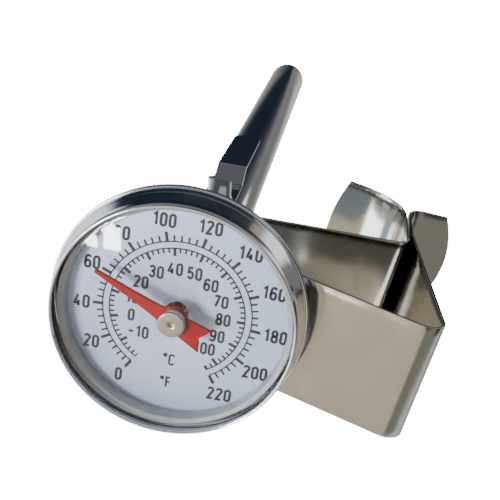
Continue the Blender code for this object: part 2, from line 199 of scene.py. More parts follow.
def satin_paint(name, dark, light, rough, speck=900.0, metallic=0.0, bump=0.05):
    """Paint, print, rubber or plastic: finely specked tone, roughness and bump."""
    made, tree, shader = new_material(name)
    shader.inputs["Metallic"].default_value = metallic
    fine = noise(tree, coordinates(tree), speck, 4.0, 0.6)
    tone = colored(tree, fine, [(0.35, dark), (0.65, light)])
    tree.links.new(tone, shader.inputs["Base Color"])
    uneven = ranged(tree, fine, 0.3, 0.7, rough - PAINT_SPREAD, rough + PAINT_SPREAD)
    tree.links.new(uneven, shader.inputs["Roughness"])
    bumped(tree, shader, fine, bump, PAINT_DEPTH)
    return made


CHROME = metal("polished_chrome", (0.66, 0.68, 0.72), (0.76, 0.77, 0.80), 0.06, 0.03)
HEAD_CHROME = metal("head_chrome", (0.66, 0.68, 0.72), (0.76, 0.77, 0.80), 0.12, 0.04)
CLIP_STEEL = metal(
    "rolled_strip_steel", (0.45, 0.438, 0.40), (0.49, 0.478, 0.437), 0.13, 0.025,
    grain=(300, 9000, 300), grain_bump=0.05,
)
STEM_STEEL = metal(
    "drawn_steel", (0.58, 0.58, 0.58), (0.68, 0.68, 0.67), 0.22, 0.05,
    grain=(2500, 2500, 60), grain_bump=0.05,
)
NICKEL = metal(
    "warm_nickel", (0.45, 0.40, 0.32), (0.50, 0.45, 0.37), 0.32, 0.05,
    grain=(5000, 5000, 900), grain_bump=0.08,
)
BRASS = metal(
    "turned_brass", (0.60, 0.45, 0.22), (0.72, 0.56, 0.30), 0.3, 0.06,
    grain=(3000, 3000, 400), grain_bump=0.06,
)
SPRING_STRIP = metal("bimetal_strip", (0.42, 0.38, 0.33), (0.58, 0.53, 0.47), 0.35, 0.06)
RED = satin_paint("red_enamel", (0.31, 0.002, 0.003), (0.37, 0.004, 0.004), 0.6)
RED.node_tree.nodes["Principled BSDF"].inputs["Specular IOR Level"].default_value = 0.2
INK = satin_paint("dial_ink", (0.006, 0.008, 0.014), (0.012, 0.014, 0.022), 0.6)
NYLON = satin_paint("moulded_nylon", (0.66, 0.64, 0.58), (0.74, 0.72, 0.66), 0.5)
DIAL_FACE = satin_paint(
    "silver_dial", (0.56, 0.66, 0.86), (0.60, 0.70, 0.90), 0.4,
    speck=1400.0, metallic=0.35, bump=0.03,
)
SATIN_RING = satin_paint(
    "satin_silver", (0.32, 0.33, 0.31), (0.36, 0.37, 0.345), 0.5,
    speck=700.0, metallic=0.15, bump=0.03,
)


def lens_material():
    """Clear plastic: light goes straight through it, and its outer faces reflect by Fresnel's law."""
    made, tree, shader = new_material("clear_lens")
    shader.inputs["Metallic"].default_value = 1.0
    shader.inputs["Base Color"].default_value = (1.0, 1.0, 1.0, 1.0)
    smear = noise(tree, coordinates(tree), LENS_SMEARS, 3.0)
    tree.links.new(ranged(tree, smear, 0.3, 0.7, 0.01, 0.025), shader.inputs["Roughness"])
    bumped(tree, shader, smear, 0.01, METAL_DEPTH)
    clear = node(tree, "ShaderNodeBsdfTransparent")
    clear.inputs["Color"].default_value = (0.98, 0.985, 1.0, 1.0)
    facing = node(tree, "ShaderNodeFresnel")
    facing.inputs["IOR"].default_value = 1.5
    side = node(tree, "ShaderNodeNewGeometry")
    outer = calculated(
        tree, "SUBTRACT", facing.outputs["Fac"], side.outputs["Backfacing"], clamp=True
    )
    mixed_surface(tree, outer, clear.outputs["BSDF"], shader.outputs["BSDF"])
    return made


LENS = lens_material()


# ------------------------------------------------------------------ shapes


def new_object(name, data):
    obj = bpy.data.objects.new(name, data)
    bpy.context.scene.collection.objects.link(obj)
    return obj


def new_mesh(name, made):
    mesh = bpy.data.meshes.new(name)
    made.to_mesh(mesh)
    made.free()
    return mesh


def finish_mesh(name, mesh, material, body, replaces=(), place=ON_DIAL, sharp=35):
    """Puts a mesh, made in millimetres about the stem's axis, in the row frame as a piece."""
    mesh.transform(place @ Matrix.Scale(MM, 4))
    mesh.validate()
    mesh.update()
    mesh.shade_smooth()
    mesh.set_sharp_from_angle(angle=math.radians(sharp))
    obj = new_object(name, mesh)
    obj.data.materials.append(material)
    if body:
        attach(obj, body)
    if replaces:
        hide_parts(*replaces)
    return obj


def arc_spokes(first, last, turn, steps):
    """Even steps of a vector that turns from first to last, which are turn apart."""
    for k in range(steps + 1):
        share = k / steps
        spoke = first * math.sin((1 - share) * turn) + last * math.sin(share * turn)
        yield spoke / math.sin(turn)


# How many steps round a turned piece's corner, and the most of a straight run that it may take up.
CORNER_STEPS = 4
MOST_RUN = 0.49


def rounded_profile(points):
    """The profile with each corner that has a third value rounded to that radius."""
    rounded = []
    count = len(points)
    for i, point in enumerate(points):
        radius = point[2] if len(point) > 2 else 0.0
        corner = Vector(point[:2])
        if not radius or i in (0, count - 1) and points[0][0] == 0.0:
            rounded.append(corner)
            continue
        before = Vector(points[i - 1][:2]) - corner
        after = Vector(points[(i + 1) % count][:2]) - corner
        half = before.angle(after) / 2
        run = min(radius / math.tan(half), before.length * MOST_RUN, after.length * MOST_RUN)
        reach = run * math.tan(half)
        first = corner + before.normalized() * run
        last = corner + after.normalized() * run
        inward = (before.normalized() + after.normalized()).normalized()
        middle = corner + inward * (reach / math.sin(half))
        a, b = first - middle, last - middle
        rounded += [middle + spoke for spoke in arc_spokes(a, b, a.angle(b), CORNER_STEPS)]
    return rounded


def lathe(name, profile, material, body, replaces, sides=HEAD_SIDES, place=ON_DIAL):
    """A turned piece, from points of (radius, height, rounding of the corner, 0 if left out).

    The profile runs down its outer side. It closes into a ring unless it starts at radius 0.
    """
    outline = rounded_profile(profile)
    made = bmesh.new()
    columns = []
    for spot in outline:
        if spot.x == 0.0:
            columns.append([made.verts.new((0.0, 0.0, spot.y))] * sides)
            continue
        columns.append([
            made.verts.new((spot.x * math.cos(t), spot.x * math.sin(t), spot.y))
            for t in (2 * math.pi * i / sides for i in range(sides))
        ])
    pairs = list(zip(columns, columns[1:]))
    if outline[0].x != 0.0:
        pairs.append((columns[-1], columns[0]))
    for upper, lower in pairs:
        for i in range(sides):
            k = (i + 1) % sides
            corners = [upper[i], lower[i], lower[k], upper[k]]
            corners = [v for n, v in enumerate(corners) if v not in corners[:n]]
            if len(corners) > 2:
                made.faces.new(corners)
    return finish_mesh(name, new_mesh(name, made), material, body, replaces, place)


# ------------------------------------------------------------------ head


# The lens: radius, height of its upper edge, rise of the dome in the middle, thickness, steps out.
LENS_RADIUS = 13.6
LENS_EDGE = 3.1
LENS_RISE = 1.5
LENS_THICK = 0.9
LENS_STEPS = 24


def make_head():
    lathe("bezel", [
        (14.20, 3.30, 0.05), (14.22, 3.58, 0.12), (14.50, 3.60, 0.15), (14.66, 3.05, 0.3),
        (14.74, 2.3, 0.5), (15.10, 0.6, 0.8), (15.35, -0.30, 0.12), (15.05, -0.36, 0.05),
        (14.80, 0.3), (14.28, 2.4, 0.2),
    ], HEAD_CHROME, "head", ["bezel_ring"])
    lathe("case_back_shell", [
        (15.42, -0.50, 0.10), (15.60, -0.66, 0.14), (15.58, -1.02, 0.16), (15.36, -1.20, 0.2),
        (15.10, -1.75, 0.6), (14.35, -2.42, 0.8), (13.2, -2.80, 0.8), (4.6, -2.80, 0.2),
        (4.3, -2.66, 0.2), (3.2, -2.66), (3.2, -2.40), (13.0, -2.40, 0.8), (13.70, -2.0, 0.5),
        (13.85, -0.55),
    ], HEAD_CHROME, "head", ["case_back"])
    lathe("spacer_ring", [
        (14.0, 2.05, 0.06), (14.0, 0.03), (13.38, 0.03, 0.05), (13.38, 1.85, 0.2),
    ], SATIN_RING, "head", ["dial_spacer_ring", "lens_gasket"])
    dome = [LENS_RADIUS * (1 - i / LENS_STEPS) for i in range(LENS_STEPS + 1)]
    top = [(r, LENS_EDGE + LENS_RISE * (1 - (r / LENS_RADIUS) ** 2)) for r in reversed(dome)]
    under = [(r, z - LENS_THICK) for r, z in reversed(top)]
    edge = [(13.95, 3.03, 0.1), (13.95, 2.2, 0.05)]
    lathe("lens_glass", top + edge + under, LENS, "head", ["lens"])
    lathe("dial_face", [
        (14.3, 0.0, 0.05), (14.3, -0.4), (1.4, -0.4), (1.4, 0.0, 0.06),
    ], DIAL_FACE, "head", ["dial_plate"])


# ------------------------------------------------------------------ dial print

# The Fahrenheit arc: its radius, which the shares below are of, its highest reading and its sweep.
ARC_RADIUS = 9.0
HIGHEST = 220
SWEEP = 294.6
CELSIUS_ARC = 0.907
ARC_STEPS = 180
ARC_WIDTH = 0.16
# The shares where long and short ticks end, and their widths.
FAHRENHEIT_ENDS, FAHRENHEIT_WIDTHS = (1.133, 1.083), (0.38, 0.23)
CELSIUS_ENDS, CELSIUS_WIDTHS = (0.80, 0.842), (0.36, 0.22)
# The figures: the share at their middles, their height and their stroke. Wide figures at the sides
# of the dial stand a little further out.
FAHRENHEIT_FIGURES = (1.285, 1.79, 0.32)
CELSIUS_FIGURES = (0.62, 1.65, 0.295)
WIDE_FIGURES_OUT = 0.05
UNIT_NAMES = [("oC", (-0.03, -0.717)), ("oF", (-0.04, -1.07))]
UNIT_NAME_HEIGHT, UNIT_NAME_STROKE = 1.6, 0.25
# The ink's lower and upper sides above the plate.
INK_LOW, INK_HIGH = 0.005, 0.03


def dial_angle(fahrenheit):
    return math.radians(SWEEP * (fahrenheit - HIGHEST / 2) / HIGHEST)


def celsius_angle(celsius):
    return dial_angle(1.8 * celsius + 32.0)


def on_dial(radius, angle):
    return Vector((radius * math.sin(angle), radius * math.cos(angle)))


def arc(cx, cy, rx, ry, start, end, steps=10):
    """Points of an ellipse's arc, in degrees anticlockwise from its right-hand side."""
    return [
        (cx + rx * math.cos(t), cy + ry * math.sin(t))
        for t in (math.radians(start + (end - start) * k / steps) for k in range(steps + 1))
    ]


def glyph_strokes(letter):
    """A condensed figure 1 high: its width, and its centre lines as (points, closed) pairs.

    The small letter o is the degree sign, and anything unknown is a minus sign.
    """
    w = 0.40
    h = w / 2
    if letter == "0":
        return w, [(arc(h, 1 - h, h, h, 0, 180) + arc(h, h, h, h, 180, 360), True)]
    if letter == "1":
        return 0.27, [([(0.0, 0.80), (0.22, 1.0), (0.22, 0.0)], False)]
    if letter == "2":
        return w, [(arc(h, 1 - h, h, h, 170, -25) + [(0.0, 0.0), (w, 0.0)], False)]
    if letter == "3":
        top = arc(h, 0.77, h, 0.23, 165, -80)
        low = arc(h, 0.26, h, 0.26, 80, -165)
        return w, [(top + [(0.13, 0.535)], False), ([(0.13, 0.535)] + low, False)]
    if letter == "4":
        slope = [(0.22, 1.0), (0.0, 0.24), (0.42, 0.24)]
        return 0.42, [(slope, False), ([(0.31, 0.5), (0.31, 0.0)], False)]
    if letter == "5":
        flag = [(0.37, 1.0), (0.04, 1.0), (0.02, 0.54)]
        return w, [(flag + arc(h, 0.31, h, 0.31, 115, -160), False)]
    if letter == "6":
        bowl = arc(h, 0.38, h, 0.2, 0, 180) + arc(h, h, h, h, 180, 360)
        neck = [(0.0, 0.36), (0.015, 0.62)] + arc(h + 0.03, 0.76, h, 0.24, 165, 25)
        return w, [(bowl, True), (neck, False)]
    if letter == "7":
        return w, [([(0.0, 1.0), (w, 1.0), (0.13, 0.0)], False)]
    if letter == "8":
        low = arc(h, 0.34, h, 0.18, 0, 180) + arc(h, h, h, h, 180, 360)
        top = arc(h, 0.81, h * 0.88, 0.19, 0, 180) + arc(h, 0.70, h * 0.88, 0.17, 180, 360)
        return w, [(low, True), (top, True)]
    if letter == "9":
        bowl = arc(h, 1 - h, h, h, 0, 180) + arc(h, 0.62, h, 0.2, 180, 360)
        neck = [(w, 0.64), (w - 0.015, 0.38)] + arc(h - 0.03, 0.24, h, 0.24, -15, -155)
        return w, [(bowl, True), (neck, False)]
    if letter == "C":
        return w, [(arc(h, 1 - h, h, h, 12, 180) + arc(h, h, h, h, 180, 348), False)]
    if letter == "F":
        flag = [(0.36, 1.0), (0.0, 1.0), (0.0, 0.0)]
        return 0.36, [(flag, False), ([(0.0, 0.54), (0.31, 0.54)], False)]
    if letter == "o":
        return 0.22, [(arc(0.11, 0.90, 0.11, 0.11, 0, 360, 16)[:-1], True)]
    return 0.40, [([(0.0, 0.46), (0.40, 0.46)], False)]


def add_ribbon(made, points, closed, width):
    """One printed line: a flat bar of constant width along its points, mitred at the corners."""
    spots = [Vector(p) for p in points]
    count = len(spots)
    rails = []
    for i, spot in enumerate(spots):
        before = spots[i - 1] if closed or i else spot
        after = spots[(i + 1) % count] if closed or i < count - 1 else spot
        into = (spot - before).normalized()
        out = (after - spot).normalized()
        along = (into + out).normalized()
        side = Vector((-along.y, along.x))
        stretch = 1.0
        if into.length and out.length:
            stretch = 1.0 / max(0.5, math.cos(into.angle(out) / 2))
        half = side * (width / 2 * stretch)
        rails.append([
            made.verts.new((*(spot + s * half), z))
            for s, z in ((1, INK_HIGH), (-1, INK_HIGH), (-1, INK_LOW), (1, INK_LOW))
        ])
    joins = list(zip(rails, rails[1:]))
    if closed:
        joins.append((rails[-1], rails[0]))
    for a, b in joins:
        for k in range(4):
            n = (k + 1) % 4
            made.faces.new((a[k], b[k], b[n], a[n]))
    if not closed:
        made.faces.new(reversed(rails[0]))
        made.faces.new(rails[-1])


def add_text(made, text, centre, height, stroke):
    """Figures set upright about a point, their height measured over the strokes."""
    size = height - stroke
    gap = 0.235 * size + stroke * 0.35
    glyphs = [glyph_strokes(letter) for letter in text]
    total = sum(w * size for w, _ in glyphs) + gap * (len(glyphs) - 1)
    x = centre.x - total / 2
    for w, strokes in glyphs:
        for points, closed in strokes:
            placed = [(x + px * size, centre.y - size / 2 + py * size) for px, py in points]
            add_ribbon(made, placed, closed, stroke)
        x += w * size + gap


def add_tick(made, angle, inner, outer, width):
    add_ribbon(made, [on_dial(inner, angle), on_dial(outer, angle)], False, width)


def make_print():
    made = bmesh.new()
    celsius_arc = CELSIUS_ARC * ARC_RADIUS
    start, end = dial_angle(0), dial_angle(HIGHEST)
    for radius in (ARC_RADIUS, celsius_arc):
        points = [
            on_dial(radius, start + (end - start) * k / ARC_STEPS) for k in range(ARC_STEPS + 1)
        ]
        add_ribbon(made, points, False, ARC_WIDTH)
    for value in range(0, HIGHEST + 1, 4):
        short = value % 20 != 0
        reach = FAHRENHEIT_ENDS[short] * ARC_RADIUS
        add_tick(made, dial_angle(value), ARC_RADIUS, reach, FAHRENHEIT_WIDTHS[short])
    for value in range(-16, 105, 2):
        short = value % 10 != 0
        reach = CELSIUS_ENDS[short] * ARC_RADIUS
        add_tick(made, celsius_angle(value), reach, celsius_arc, CELSIUS_WIDTHS[short])
    for angle in (start, end):
        add_tick(made, angle, CELSIUS_ENDS[1] * ARC_RADIUS, celsius_arc, ARC_WIDTH)
    share, height, stroke = FAHRENHEIT_FIGURES
    for value in range(0, HIGHEST + 1, 20):
        angle = dial_angle(value)
        wide = WIDE_FIGURES_OUT * abs(math.sin(angle)) if value > 99 else 0.0
        add_text(made, str(value), on_dial((share + wide) * ARC_RADIUS, angle), height, stroke)
    share, height, stroke = CELSIUS_FIGURES
    for value in range(-10, 101, 10):
        spot = on_dial(share * ARC_RADIUS, celsius_angle(value))
        add_text(made, str(value), spot, height, stroke)
    for name, place in UNIT_NAMES:
        add_text(made, name, Vector(place) * ARC_RADIUS, UNIT_NAME_HEIGHT, UNIT_NAME_STROKE)
    finish_mesh("dial_print", new_mesh("dial_print", made), INK, "head", sharp=20)


# ------------------------------------------------------------------ pointer


# One side of the blade, made along +X: from the tip to the boss, round it, and on to the fork.
BLADE_FRONT = [(10.7, 0.05), (10.6, 0.22), (8.7, 0.34), (5.2, 0.57), (2.6, 0.80), (1.75, 0.92)]
BOSS_RADIUS = 1.85
BOSS_ANGLES = (0.75, 0.95, 1.15, 1.35, 1.57, 1.8, 2.05)
BLADE_TAIL = [(-1.4, 1.30), (-2.6, 1.44), (-4.4, 1.64)]
FORK_NOTCH = (-3.65, 0.0)
BLADE_THICK = 0.4
BLADE_LIFT = 2.1
# How far the blade points from the dial's top, in degrees anticlockwise.
READING = 64.6


def in_order(made):
    """The same shape with its points and faces in order of place, since extruding can shuffle them."""
    ordered = bmesh.new()
    verts = {}
    for point in sorted(tuple(v.co) for v in made.verts):
        verts[point] = ordered.verts.new(point)
    faces = [[tuple(v.co) for v in face.verts] for face in made.faces]
    for corners in sorted(faces, key=sorted):
        ordered.faces.new([verts[point] for point in corners])
    made.free()
    return ordered


def make_pointer():
    """The blade is made along +X, then turned to its reading."""
    boss = [(BOSS_RADIUS * math.cos(t), BOSS_RADIUS * math.sin(t)) for t in BOSS_ANGLES]
    side = BLADE_FRONT + boss + BLADE_TAIL
    outline = side + [FORK_NOTCH] + [(a, -b) for a, b in reversed(side)]
    made = bmesh.new()
    face = made.faces.new([made.verts.new((x, y, 0.0)) for x, y in outline])
    lifted = bmesh.ops.extrude_face_region(made, geom=[face])
    raised = [v for v in lifted["geom"] if isinstance(v, bmesh.types.BMVert)]
    bmesh.ops.translate(made, verts=raised, vec=(0, 0, BLADE_THICK))
    bmesh.ops.recalc_face_normals(made, faces=made.faces)
    top = [e for e in made.edges if all(v.co.z > BLADE_THICK / 2 for v in e.verts)]
    bmesh.ops.bevel(made, geom=top, offset=0.09, segments=3, affect="EDGES", profile=0.5)
    bmesh.ops.triangulate(made, faces=[f for f in made.faces if len(f.verts) > 4])
    mesh = new_mesh("pointer_blade", in_order(made))
    turn = Matrix.Rotation(math.radians(90 + READING), 4, "Z")
    mesh.transform(Matrix.Translation((0, 0, BLADE_LIFT)) @ turn)
    finish_mesh("pointer_blade", mesh, RED, "indicator", ["pointer"], sharp=25)
    lathe("pointer_cap", [
        (0.0, 3.22), (0.16, 3.22, 0.05), (0.32, 3.40, 0.08), (0.52, 3.45, 0.06),
        (1.50, 3.45, 0.12), (1.65, 3.28, 0.08), (1.65, 2.55, 0.04), (0.9, 2.55), (0.9, 1.6),
        (0.0, 1.6),
    ], NICKEL, "indicator", ["pointer_hub"], SMALL_SIDES)


# ------------------------------------------------------------------ stem and sheath


NUT_RADIUS, NUT_THICK, NUT_MIDDLE = 4.03, 1.3, -4.3


def cylinder(made, sides, radius, height, middle):
    """A capped cylinder on the stem's axis, with its middle at a height."""
    bmesh.ops.create_cone(
        made, cap_ends=True, segments=sides, radius1=radius, radius2=radius, depth=height,
        matrix=Matrix.Translation((0, 0, middle)),
    )


def make_stem():
    lathe("stem_pipe", [
        (1.9, -1.2, 0.1), (1.9, -136.0, 0.1), (1.6, -136.0), (1.6, -1.2),
    ], STEM_STEEL, "stem", ["stem_tube"], STEM_SIDES)
    lathe("stem_tip", [
        (0.0, -134.8), (1.3, -134.8), (1.3, -136.3), (1.9, -136.3, 0.08), (1.9, -137.6, 0.6),
        (0.0, -137.6),
    ], STEM_STEEL, "stem", ["stem_tip_plug"], STEM_SIDES)
    lathe("neck_bushing", [
        (4.3, -1.30, 0.1), (4.3, -2.10, 0.1), (2.85, -2.10), (2.85, -3.0, 0.15),
        (2.05, -3.0, 0.1), (2.05, -1.3),
    ], BRASS, "stem", ["neck_bush"], STEM_SIDES)
    lathe("washer", [
        (4.2, -3.10, 0.06), (4.2, -3.35, 0.06), (3.3, -3.35, 0.06), (3.3, -3.10, 0.06),
    ], STEM_STEEL, "stem", ["friction_washer"], SMALL_SIDES)
    made = bmesh.new()
    cylinder(made, 6, NUT_RADIUS, NUT_THICK, NUT_MIDDLE)
    bmesh.ops.bevel(
        made, geom=list(made.edges), offset=0.14, segments=3, affect="EDGES", profile=0.5
    )
    finish_mesh(
        "hex_nut", new_mesh("hex_nut", made), HEAD_CHROME, "stem", ["calibration_nut"],
        sharp=25,
    )


def make_sheath():
    lathe("sheath_pipe", [
        (4.10, -19.0, 0.1), (4.275, -19.16, 0.15), (4.275, -145.0, 0.08), (3.85, -145.0),
        (3.85, -19.0, 0.12),
    ], CHROME, "sheath", ["sheath_tube"], SHEATH_SIDES)
    lathe("sheath_cap", [
        (0.0, -143.2), (3.55, -143.2), (3.55, -145.12), (4.275, -145.12, 0.08),
        (4.275, -146.5, 0.55), (0.0, -146.5),
    ], CHROME, "sheath", ["sheath_end_cap"], SHEATH_SIDES)
    lathe("grip_bush", [
        (3.55, -19.3, 0.15), (3.55, -27.0, 0.1), (2.2, -27.0), (2.2, -19.3, 0.3),
    ], NYLON, "sheath", ["sheath_grip_bush"], SMALL_SIDES)


# ------------------------------------------------------------------ bent strips


def bent_path(corners, radii, pieces, longest):
    """The corners joined by arcs, each of so many pieces, and by straight runs in short steps."""
    path = [Vector(corners[0])]
    for before, corner, after, radius in zip(corners, corners[1:], corners[2:], radii):
        corner = Vector(corner)
        into = (corner - Vector(before)).normalized()
        out = (Vector(after) - corner).normalized()
        turn = into.angle(out)
        run = radius * math.tan(turn / 2)
        inward = (out - into).normalized()
        centre = corner + inward * (radius / math.cos(turn / 2))
        first = corner - into * run - centre
        last = corner + out * run - centre
        path += [centre + spoke for spoke in arc_spokes(first, last, turn, pieces)]
    path.append(Vector(corners[-1]))
    filled = [path[0]]
    for spot in path[1:]:
        gap = spot - filled[-1]
        steps = max(1, math.ceil(gap.length / longest))
        start = filled[-1]
        filled += [start + gap * (k / steps) for k in range(1, steps + 1)]
    return filled


# How many columns of faces lie across a strip's flat side, and how many round each long edge.
STRIP_COLUMNS = 14
EDGE_COLUMNS = 6


def edge_section(width, thick, radius):
    """A strip's section as (across, normal) points, with rounded long edges, round in one loop."""
    half, lift = width / 2 - radius, thick / 2
    flat = [half * (1 - 2 * k / STRIP_COLUMNS) for k in range(STRIP_COLUMNS + 1)]
    squash = lift / radius

    def edge(middle, start):
        turns = (math.radians(start + 180 * k / EDGE_COLUMNS) for k in range(1, EDGE_COLUMNS))
        return [(middle + radius * math.cos(t), radius * math.sin(t) * squash) for t in turns]

    top = [(a, lift) for a in flat]
    under = [(-a, -lift) for a in flat]
    return top + edge(-half, 90) + under + edge(half, -90)


def sweep(name, path, section_at, out, across, swells):
    """A strip swept along a path of (out, depth) points, its two ends cut to arcs.

    swells are (height, run, shape) for the start and the end: how far the middle of that end
    stands beyond its corners, over how long a run it builds up, and the arc's shape.
    """
    lengths = [0.0]
    for a, b in zip(path, path[1:]):
        lengths.append(lengths[-1] + (b - a).length)
    total = lengths[-1]
    (start_height, start_run, start_shape), (end_height, end_run, end_shape) = swells
    made = bmesh.new()
    loops = []
    for i, spot in enumerate(path):
        before = path[max(0, i - 1)]
        after = path[min(len(path) - 1, i + 1)]
        along = (after - before).normalized()
        tangent = out * along.x - Vector((0, 0, along.y))
        normal = across.cross(tangent)
        where = out * spot.x - Vector((0, 0, spot.y))
        section = section_at(lengths[i] / total)
        widest = max(a for a, _ in section)
        start_weight = start_height * max(0.0, 1 - lengths[i] / start_run)
        end_weight = end_height * max(0.0, 1 - (total - lengths[i]) / end_run)
        ring = []
        for a, n in section:
            part = min(1.0, abs(a) / widest)
            slide = end_weight * end_shape(part) - start_weight * start_shape(part)
            ring.append(made.verts.new(where + across * a + normal * n + tangent * slide))
        loops.append(ring)
    count = len(loops[0])
    for a, b in zip(loops, loops[1:]):
        for k in range(count):
            n = (k + 1) % count
            made.faces.new((a[k], a[n], b[n], b[k]))
    under = STRIP_COLUMNS + EDGE_COLUMNS
    far = under + STRIP_COLUMNS
    for ring in (loops[0], loops[-1]):
        for k in range(STRIP_COLUMNS):
            made.faces.new((ring[k], ring[k + 1], ring[far - k - 1], ring[far - k]))
        made.faces.new(ring[STRIP_COLUMNS:under + 1])
        made.faces.new(ring[far:] + [ring[0]])
    bmesh.ops.recalc_face_normals(made, faces=made.faces)
    return new_mesh(name, made)


def shallow(part):
    return 1 - part * part


def round_nose(part):
    return math.sqrt(max(0.0, 1 - part * part))


# ------------------------------------------------------------------ pocket clip

# The strip's corners as (out, depth), from the thumb tab to the nose, and the radii of its bends.
BASE_OUT = 4.85
POCKET_CORNERS = [(9.1, 24.8), (BASE_OUT, 27.7), (BASE_OUT, 36.0), (6.95, 39.0), (6.5, 56.5)]
POCKET_RADII = [0.9, 0.8, 1.0]
POCKET_THICK = 0.5
POCKET_EDGE = 0.16
# The thumb tab's width, how much wider the rest is, and where along the strip it widens.
TAB_WIDTH, WIDER_BY = 3.4, 1.2
WIDENS_AT, WIDENS_OVER = 3.6, 1.6
# The depth of the rivet.
RIVET_DEPTH = 31.5


def make_pocket_clip():
    """One strip: thumb tab, base on the sheath, riser, and the long arm with its round nose."""
    path = bent_path(POCKET_CORNERS, POCKET_RADII, pieces=8, longest=0.7)
    total = sum((b - a).length for a, b in zip(path, path[1:]))

    def section_at(share):
        widened = min(1.0, max(0.0, (share * total - WIDENS_AT) / WIDENS_OVER))
        return edge_section(TAB_WIDTH + WIDER_BY * widened, POCKET_THICK, POCKET_EDGE)

    mesh = sweep(
        "pocket_clip_strip", path, section_at, Vector((0, 1, 0)), Vector((1, 0, 0)),
        [(0.25, 0.9, shallow), (2.0, 2.6, round_nose)],
    )
    obj = finish_mesh(
        "pocket_clip_strip", mesh, CHROME, None, ["pocket_clip_base", "pocket_clip_arm"],
        sharp=40,
    )
    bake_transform(obj)
    down = Matrix.Translation((0, 0, -RIVET_DEPTH * MM))
    laid = ON_DIAL @ down @ Matrix.Rotation(-math.pi / 2, 4, "X")
    lathe("rivet_head", [
        (0.0, 5.72), (0.45, 5.70, 0.2), (0.95, 5.48, 0.3), (1.15, 5.12, 0.05), (0.5, 5.12),
        (0.5, 3.5), (1.0, 3.5), (1.0, 3.0), (0.0, 3.0),
    ], STEM_STEEL, "sheath", ["pocket_clip_rivet"], RIVET_SIDES, laid)


# ------------------------------------------------------------------ jug clip

# Places are (out, depth): millimetres from the stem's axis along +X, and below the dial's face.
STRIP_WIDTH = 15.8
STRIP_THICK = 0.35
STRIP_EDGE = 0.12
# The two plates: depth at the stem's axis, and how much deeper each millimetre out is.
FRONT_DEPTH, FRONT_SLOPE = 6.35, -0.222
REAR_DEPTH, REAR_SLOPE = 16.05, 0.3656
FOLD_REACH = -11.6
# The two leaves stand upright at these reaches. Above LEAN_DEPTH the outer one leans to LEAN_TOP.
INNER_LEAF, OUTER_LEAF = 26.95, 27.65
LEAN_DEPTH = 30.5
LEAN_TOP = (30.2, 5.0)
# The lips: the depths where they start, their lengths, and their turn away from the leaves.
INNER_LIP_DEPTH, INNER_LIP = 45.2, 9.2
OUTER_LIP_DEPTH, OUTER_LIP = 42.2, 6.4
LIP_FLARE = math.radians(80)
JUG_RADII = [8.0, 3.0, 1.85, 1.85, 2.5, 12.0, 3.5]
# The stem's hole through both plates: its radius, and the length and the height of the middle of the
# drill that cuts it.
HOLE_RADIUS, DRILL_LENGTH, DRILL_MIDDLE = 2.2, 20, -12


def on_line(depth, slope, reach):
    return (reach, depth + slope * reach)


def make_jug_clip():
    """One strip, from the inner lip round the loop to the outer lip."""
    flare = Vector((math.sin(LIP_FLARE), math.cos(LIP_FLARE)))
    inner_corner = Vector((INNER_LEAF, INNER_LIP_DEPTH))
    outer_corner = Vector((OUTER_LEAF, OUTER_LIP_DEPTH))
    top_reach, top_depth = LEAN_TOP
    lean = (OUTER_LEAF - top_reach) / (LEAN_DEPTH - top_depth)
    corner_reach = (top_reach + lean * (FRONT_DEPTH - top_depth)) / (1 - lean * FRONT_SLOPE)
    corners = [
        inner_corner + Vector((-flare.x, flare.y)) * INNER_LIP,
        inner_corner,
        on_line(REAR_DEPTH, REAR_SLOPE, INNER_LEAF),
        on_line(REAR_DEPTH, REAR_SLOPE, FOLD_REACH),
        on_line(FRONT_DEPTH, FRONT_SLOPE, FOLD_REACH),
        on_line(FRONT_DEPTH, FRONT_SLOPE, corner_reach),
        (OUTER_LEAF, LEAN_DEPTH),
        outer_corner,
        outer_corner + flare * OUTER_LIP,
    ]
    path = bent_path(corners, JUG_RADII, pieces=16, longest=1.6)
    mesh = sweep(
        "jug_clip_strip", path, lambda share: edge_section(STRIP_WIDTH, STRIP_THICK, STRIP_EDGE),
        Vector((1, 0, 0)), Vector((0, 1, 0)), [(1.4, 3.2, shallow), (2.25, 3.6, shallow)],
    )
    obj = finish_mesh(
        "jug_clip_strip", with_holes(mesh), CLIP_STEEL, None,
        ["jug_clip_band", "jug_clip_outer_leaf"], place=ON_CLIP, sharp=40,
    )
    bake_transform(obj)


def with_holes(mesh):
    """The strip with the stem's hole through both of its plates."""
    strip = new_object("strip_blank", mesh)
    made = bmesh.new()
    cylinder(made, STEM_SIDES, HOLE_RADIUS, DRILL_LENGTH, DRILL_MIDDLE)
    drill = new_object("drill", new_mesh("drill", made))
    cut = strip.modifiers.new("holes", "BOOLEAN")
    cut.operation = "DIFFERENCE"
    cut.solver = "EXACT"
    cut.object = drill
    graph = bpy.context.evaluated_depsgraph_get()
    cut_mesh = bpy.data.meshes.new_from_object(strip.evaluated_get(graph))
    for obj in (strip, drill):
        bpy.data.objects.remove(obj)
    return cut_mesh


# ------------------------------------------------------------------ inner pieces


def dress_inner_nodes():
    """Gives the solids that are shown as they were packed a finish of their own."""
    finishes = {
        "spindle": STEM_STEEL,
        "bimetal_helix": SPRING_STRIP,
        "coil_anchor": BRASS,
        "upper_spindle_guide": BRASS,
        "lower_spindle_guide": BRASS,
    }
    for name, material in finishes.items():
        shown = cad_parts[name].data
        shown.materials.clear()
        shown.materials.append(material)


make_head()
make_print()
make_pointer()
make_stem()
make_sheath()
make_pocket_clip()
make_jug_clip()
dress_inner_nodes()


# ------------------------------------------------------------------ stage, light and camera


